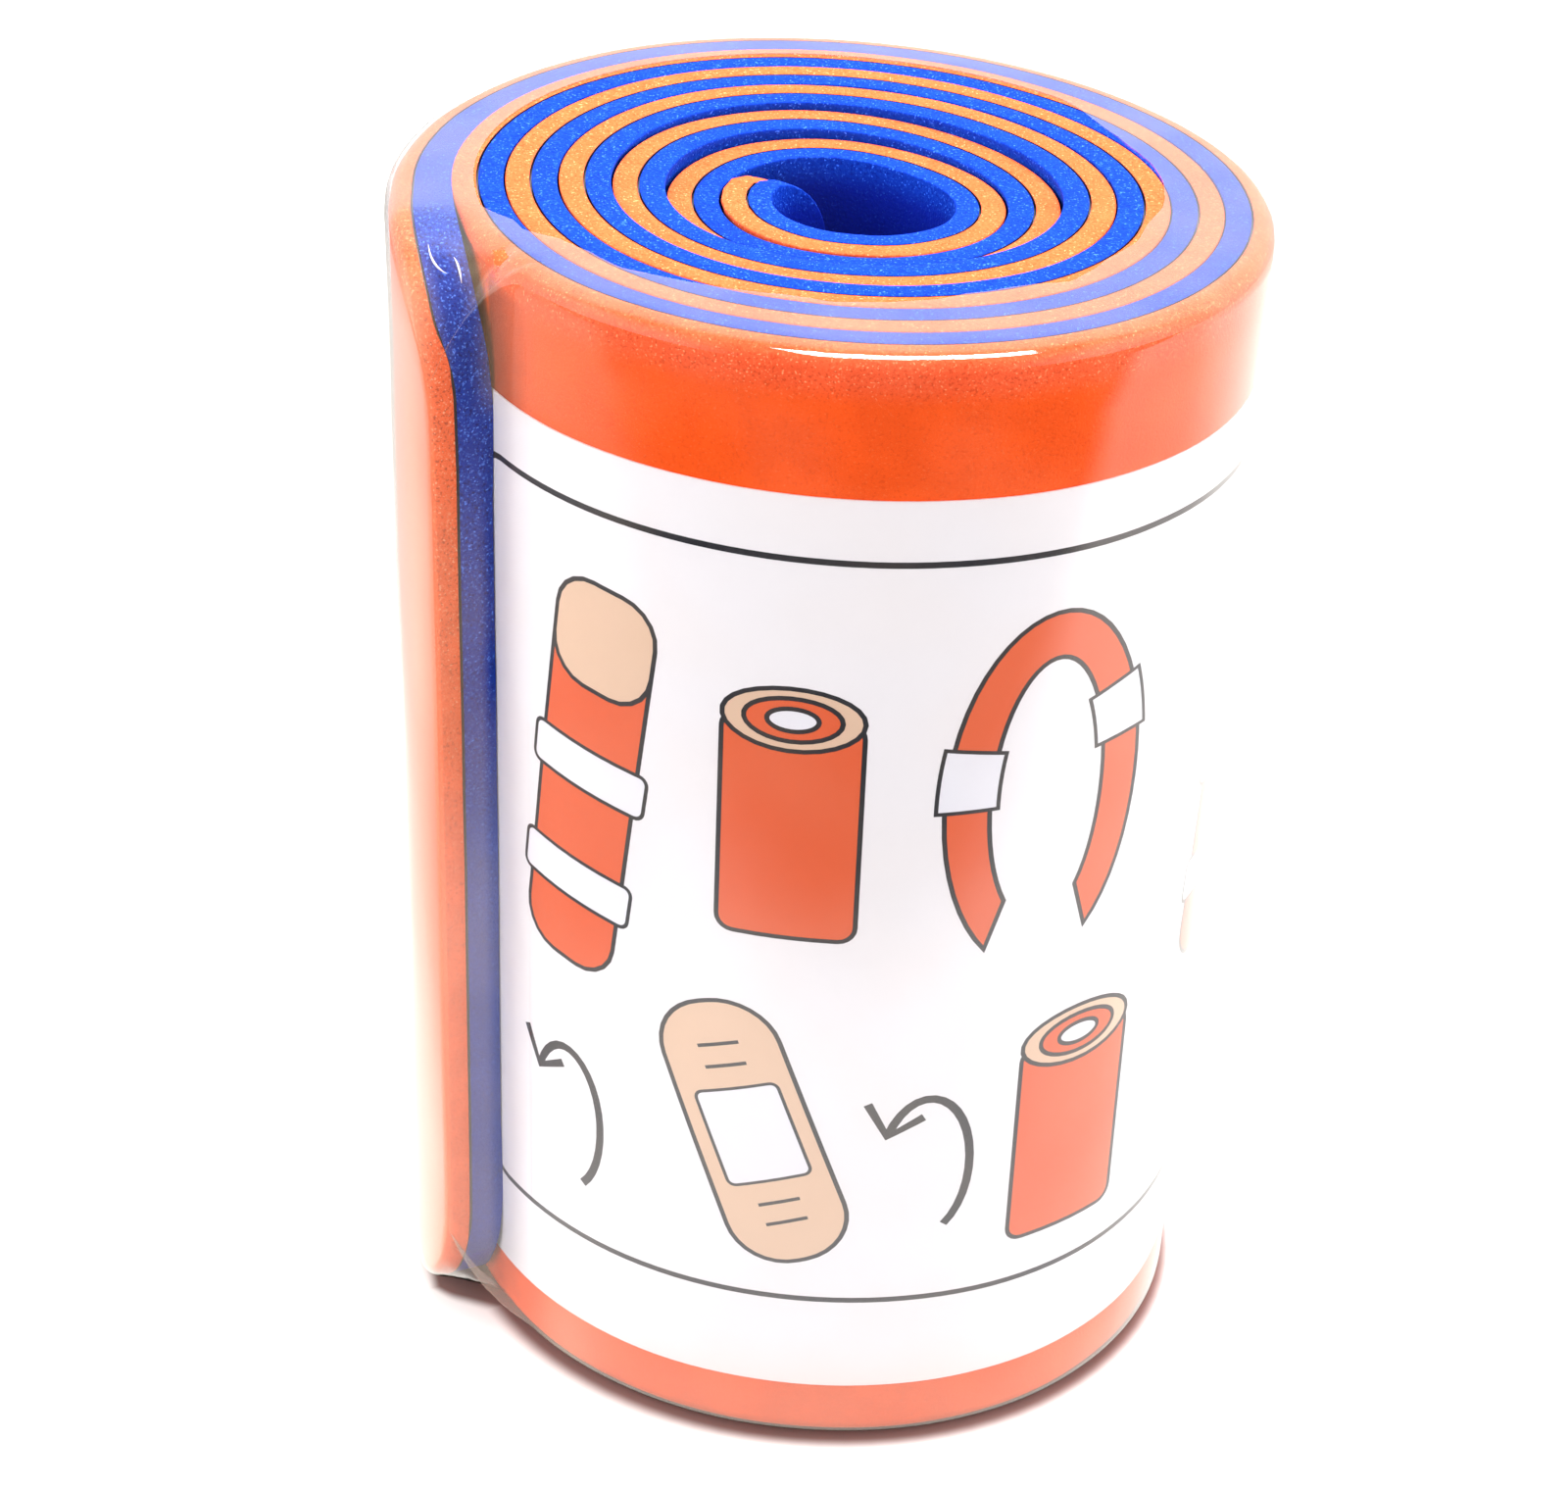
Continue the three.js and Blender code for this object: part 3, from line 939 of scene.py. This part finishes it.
def film_haze_and_sheen(n, parts, web):
    """Share of milk in the film: a trace of real haze all over, and painted sheen, standing in
    for reflections, over the free end, over its blue, beside it and at the foot.
    """
    height, out = parts.outputs["Z"], n.out_from_end(parts)
    # Painted sheen over the free end, and over the end face of its orange.
    painted_sheen_over_end = n.total(
        n.ramp(parts.outputs["X"], -0.0302, -0.0336, 0.0, 0.28),
        n.ramp(out, 0.0352, 0.036, 0.0, 0.04),
    )
    painted_sheen_over_end = n.product(painted_sheen_over_end, n.ramp(height, 0.109, 0.1))
    painted_sheen_over_blue = n.product(n.ramp(out, 0.033, 0.034, 0.0, 0.075), n.ramp(height, 0.096, 0.075))
    on_roll = n.ramp(out, 0.0345, 0.0325)
    # Painted sheen on the roll's side beside the free end.
    beside = n.product(
        n.ramp(parts.outputs["X"], -0.012, -0.024, 0.0, 0.09),
        n.ramp(height, 0.094, 0.098),
        n.ramp(height, 0.108, 0.106),
        on_roll,
    )
    # Painted reflection of the bright floor, low on the roll's front and strongest towards the
    # free end.
    foot = n.product(
        n.ramp(parts.outputs["X"], -0.016, -0.024, 0.1, 0.38),
        n.ramp(height, 0.013, 0.004),
        on_roll,
        n.math("SUBTRACT", 1.0, n.product(web, 0.85)),
    )
    front = n.ramp(parts.outputs["Y"], *FRONT_HALF)
    haze_and_sheen = n.ramp(n.noise(120, 0), 0.3, 0.7, 0.0, 0.022)
    for more in (painted_sheen_over_end, painted_sheen_over_blue, beside, foot):
        haze_and_sheen = n.total(haze_and_sheen, n.product(more, front))
    return haze_and_sheen


def film_material(name):
    """Thin clear film: see-through, mirror-like at grazing angles, with a trace of milk and
    patches of painted sheen.
    """
    n = new_material(name)
    parts = n.axes()
    ripple = n.noise(70, 2, 0.55, stretch=(1, 1, 0.5))
    creases = n.noise(230, 0, stretch=(1, 1, 0.07))
    normal = n.bump(n.total(ripple, n.product(creases, 0.12)), 0.0005, 0.3)
    facing = n.add("ShaderNodeLayerWeight")
    facing.inputs["Blend"].default_value = 0.5
    n.link(normal, facing.inputs["Normal"])
    mirror = n.product(n.math("POWER", facing.outputs["Facing"], 5.0), 0.9)
    # Between the free end and the turn below, the film is slack and dull
    past = n.past_end(parts)
    web = n.product(
        n.ramp(past, 0.0005, 0.0014),
        n.ramp(past, 0.016, 0.0062),
        n.ramp(parts.outputs["X"], -0.012, -0.018),
    )
    dull = n.product(web, n.ramp(parts.outputs["Z"], 0.108, 0.1068, 0, 0.9))
    mirror = n.product(mirror, n.math("SUBTRACT", 1.0, dull))
    # The sheet's two faces mirror together
    passed = n.math("POWER", n.math("SUBTRACT", 0.955, mirror), 2.0)
    mirror = n.math("SUBTRACT", 1.0, passed)
    gloss = n.add("ShaderNodeBsdfGlossy")
    gloss.inputs["Roughness"].default_value = 0.06
    n.link(normal, gloss.inputs["Normal"])
    clear = n.add("ShaderNodeBsdfTransparent")
    clear.inputs["Color"].default_value = (0.95, 0.95, 0.97, 1)
    milk_and_sheen = n.add("ShaderNodeBsdfDiffuse")
    milk_and_sheen.inputs["Color"].default_value = (1.0, 0.74, 0.5, 1)
    # The milk shows the film's own faint haze, and painted sheen where the haze masks rise.
    body = n.mix_shaders(film_haze_and_sheen(n, parts, web), clear, milk_and_sheen)
    return n.finish(n.mix_shaders(mirror, body, gloss))


def clear_material(name, colour):
    """The film's inner face, which only lets light through."""
    n = new_material(name)
    clear = n.add("ShaderNodeBsdfTransparent")
    clear.inputs["Color"].default_value = (*colour, 1)
    return n.finish(clear)


# The camera, the floor and the light

# The camera fitted to the photo: focal length in pixels of a 1600 pixel wide picture, its
# right and up directions, and its place in millimetres
FOCAL, PICTURE_WIDTH = 3524.63, 1600
CAMERA_RIGHT = (0.99919623, 0.02123465, 0.03399984)
CAMERA_UP = (-0.04008615, 0.52929952, 0.84748754)
CAMERA_SPOT = (-3.2725 + 1.134, -265.1776 - 0.987, 218.9196 + 0.18)


def make_camera():
    data = bpy.data.cameras.new("camera")
    data.sensor_width = 36.0
    data.lens = 36.0 * FOCAL / PICTURE_WIDTH
    data.clip_start, data.clip_end = 0.01, 20
    camera = bpy.data.objects.new("camera", data)
    right, up = Vector(CAMERA_RIGHT), Vector(CAMERA_UP)
    turn = Matrix((right, up, right.cross(up))).transposed().to_4x4()
    camera.matrix_world = Matrix.Translation(Vector(CAMERA_SPOT) * MM) @ turn
    bpy.context.scene.collection.objects.link(camera)
    bpy.context.scene.camera = camera


# Step in degrees round the foot, and the distances of the floor's rings from it
FLOOR_STEP = 4.0
FLOOR_ROWS = (-12, -4, -1, 0, 1, 2, 3, 5, 9, 4000)
FOOT_LIFT_SPAN = 9


def floor_rings():
    """Points, faces and each point's distance outside the foot of the roll.

    At the free end the rings step in to meet their start, where the strip's corner is lifted."""
    angles = np.linspace(EXPOSED_FROM, END_ANGLE, round(360 / FLOOR_STEP) + 1)
    step_in = roll_outer(END_ANGLE) - roll_outer(EXPOSED_FROM)
    points, distances = [], []
    for distance in FLOOR_ROWS:
        for angle in angles:
            lifted = step_in * smoothstep(angle, END_ANGLE - FOOT_LIFT_SPAN, END_ANGLE)
            x, y, _ = place(angle, roll_outer(angle) - lifted + distance, 0)
            points.append((x, y, 0))
            distances.append(distance)
    size = len(angles)
    faces = [tuple(range(size))]
    for start in range(0, len(points) - size, size):
        for k in range(start, start + size - 1):
            faces.append((k, k + size, k + size + 1, k + 1))
    return points, faces, distances


def make_floor():
    """White paper with a painted shadow right beside the roll.

    It throws little light back, so the roll's lower part isn't washed out."""
    points, faces, distances = floor_rings()
    n = new_material("floor_white")
    floor = make_mesh("floor", points, faces, [n.owner])
    floor.data.attributes.new("from_roll", "FLOAT", "POINT").data.foreach_set("value", distances)
    rays = n.add("ShaderNodeLightPath")
    parts = n.axes()
    x, y = parts.outputs["X"], parts.outputs["Y"]
    away = n.add("ShaderNodeAttribute", attribute_name="from_roll").outputs["Fac"]
    paper = n.add("ShaderNodeBsdfDiffuse")
    # Painted contact shadow: the paper is dark right by the roll's foot and turns white within
    # about two millimetres, though not at the left.
    painted_shadow = n.ramp(n.total(away, n.ramp(x, -0.031, -0.036, 0, 2.5)), 0.2, 2.3)
    seen = n.blend(painted_shadow, (0.2, 0.12, 0.11), (0.85, 0.83, 0.82))
    n.link(n.blend(rays.outputs["Is Diffuse Ray"], seen, (0.2, 0.2, 0.2)), paper.inputs[0])
    # For rays mirrored in the film the paper glows, bright right in front of the roll and behind
    # it: a painted reflection.
    painted_reflection = n.add("ShaderNodeEmission")
    painted_reflection.inputs["Color"].default_value = (1, 0.95, 0.9, 1)
    front = n.product(n.ramp(y, -0.13, -0.085, 0.04, 1.7), n.ramp(x, -0.1, -0.04, 0.25, 1.0))
    back = n.ramp(y, 0.0, 0.08, 0, 0.6)
    strength = n.product(n.ramp(away, -0.5, 1.0), n.total(front, back))
    n.link(strength, painted_reflection.inputs["Strength"])
    n.finish(n.mix_shaders(rays.outputs["Is Glossy Ray"], paper, painted_reflection))


def area_light(name, spot, aim, size, power, mirrored=False):
    """A soft light. It either lights the roll, or only shows as a reflection in the film."""
    data = bpy.data.lights.new(name, "AREA")
    data.shape = "RECTANGLE"
    data.size, data.size_y = size
    data.energy = power
    lamp = bpy.data.objects.new(name, data)
    lamp.location = spot
    direction = Vector(aim) - Vector(spot)
    lamp.rotation_mode = "QUATERNION"
    lamp.rotation_quaternion = direction.to_track_quat("-Z", "Y")
    lamp.visible_glossy = mirrored
    lamp.visible_diffuse = not mirrored
    bpy.context.scene.collection.objects.link(lamp)


SKY_LIGHT, SKY_SEEN = 1.65, 1.3
SKY_BEHIND, SKY_BESIDE, SKY_FRONT = 2.1, 1.4, 0.06


def make_world():
    """Soft white surroundings. In the film they show bright behind and beside the roll."""
    n = Nodes(bpy.data.worlds.new("studio"), "ShaderNodeOutputWorld")
    parts = n.add("ShaderNodeSeparateXYZ")
    n.link(n.add("ShaderNodeTexCoord").outputs["Generated"], parts.inputs[0])
    behind = n.ramp(parts.outputs["Y"], -0.1, 0.4, 0, SKY_BEHIND)
    beside = n.ramp(n.math("ABSOLUTE", parts.outputs["X"]), 0.5, 0.85, 0, SKY_BESIDE)
    mirrored = n.total(n.math("MAXIMUM", behind, beside), SKY_FRONT)
    rays = n.add("ShaderNodeLightPath")
    lit = n.choose(rays.outputs["Is Glossy Ray"], SKY_LIGHT, mirrored)
    sky = n.add("ShaderNodeBackground")
    shown = n.choose(rays.outputs["Is Camera Ray"], lit, SKY_SEEN)
    n.link(shown, sky.inputs["Strength"])
    bpy.context.scene.world = n.finish(sky)


make_camera()
make_floor()
make_world()
for lamp in (
    ("top_light", (0.1, 0.2, 0.8), (0, 0, 0.1), (0.6, 0.6), 15),
    ("right_light", (0.8, 0.1, 0.35), (0, 0, 0.05), (0.5, 0.5), 8),
    ("left_light", (-0.8, 0.1, 0.35), (0, 0, 0.05), (0.5, 0.5), 5),
    ("front_left_light", (-0.58, -0.58, 0.25), (0, 0, 0.05), (0.4, 0.4), 2.9),
    ("front_right_light", (0.58, -0.58, 0.25), (0, 0, 0.05), (0.4, 0.4), 1.4),
    ("rim_light", (0.12, -0.32, 1.0), (0, 0, 0.1), (0.75, 0.3), 23, True),
):
    area_light(*lamp)
bpy.context.scene.view_settings.view_transform = "Standard"

# Each foam's edge colour, on the cut top, is paler than its skin: partly the cut cells' own
# tone, partly painted brightness of the strong top light.
blue_look = foam_material(
    "blue_foam_look",
    edge=(0.003, 0.038, 0.4),
    skin=(0.002, 0.012, 0.3),
    pale_speck_and_glint=(0.04, 0.17, 0.9),
    pore=(0.001, 0.008, 0.2),
)
blue_end_look = foam_material(
    "blue_foam_end_look",
    edge=(0.005, 0.035, 0.3),
    skin=(0.005, 0.035, 0.3),
    pale_speck_and_glint=(0.1, 0.27, 0.95),
    pore=(0.001, 0.006, 0.11),
    grit=0.75,
    bare=(0.04, 0.1, 0.2),
)
orange_look = foam_material(
    "orange_foam_look",
    edge=(0.95, 0.118, 0.035),
    skin=(0.94, 0.1, 0.008),
    pale_speck_and_glint=(1.0, 0.32, 0.13),
    pore=(0.5, 0.04, 0.006),
    painted_shade=0.8,
)
orange_end_look = foam_material(
    "orange_foam_end_look",
    edge=(0.95, 0.13, 0.03),
    skin=(0.95, 0.13, 0.03),
    pale_speck_and_glint=(1.0, 0.4, 0.2),
    pore=(0.35, 0.03, 0.005),
    grit=0.6,
    bare=(0.04, 0.1, 0.2),
)
metal_look = metal_material("core_sheet_look")
film_look = film_material("clear_film_look")
label_looks = [
    print_material("label_paper_look", (0.91, 0.868, 0.853), 0.04),
    print_material("ink_dark_look", (0.03, 0.03, 0.035), 0.3),
    print_material("ink_orange_look", (0.82, 0.13, 0.04), 0.06),
    print_material("ink_beige_look", (0.8, 0.55, 0.38), 0.06),
    print_material("ink_white_look", (0.88, 0.86, 0.88), 0.04),
]

glue_and_shade_look = print_material("glue_and_painted_shade_look", (0.012, 0.008, 0.02), 0.3, roughness=0.8)
blue_layer = dress(
    strip_layer("blue_foam_layer", True, [blue_look, glue_and_shade_look, blue_end_look]), "blue_foam"
)
orange_layer = dress(
    strip_layer("orange_foam_layer", False, [orange_look, glue_and_shade_look, orange_end_look]),
    "orange_foam",
)
dress(core_strip("aluminium_sheet", metal_look), "aluminium_core")
dress(label_piece("picture_label", label_looks), "printed_label")
film_looks = [
    film_look,
    clear_material("film_inner_look", (0.98, 0.98, 0.985)),
    # Painted highlight: the creases are plain white.
    print_material("film_crease_painted_highlight_look", (0.93, 0.94, 0.97), 0.05, roughness=0.3),
]
dress(film_piece("film_wrap", film_looks), "clear_film")
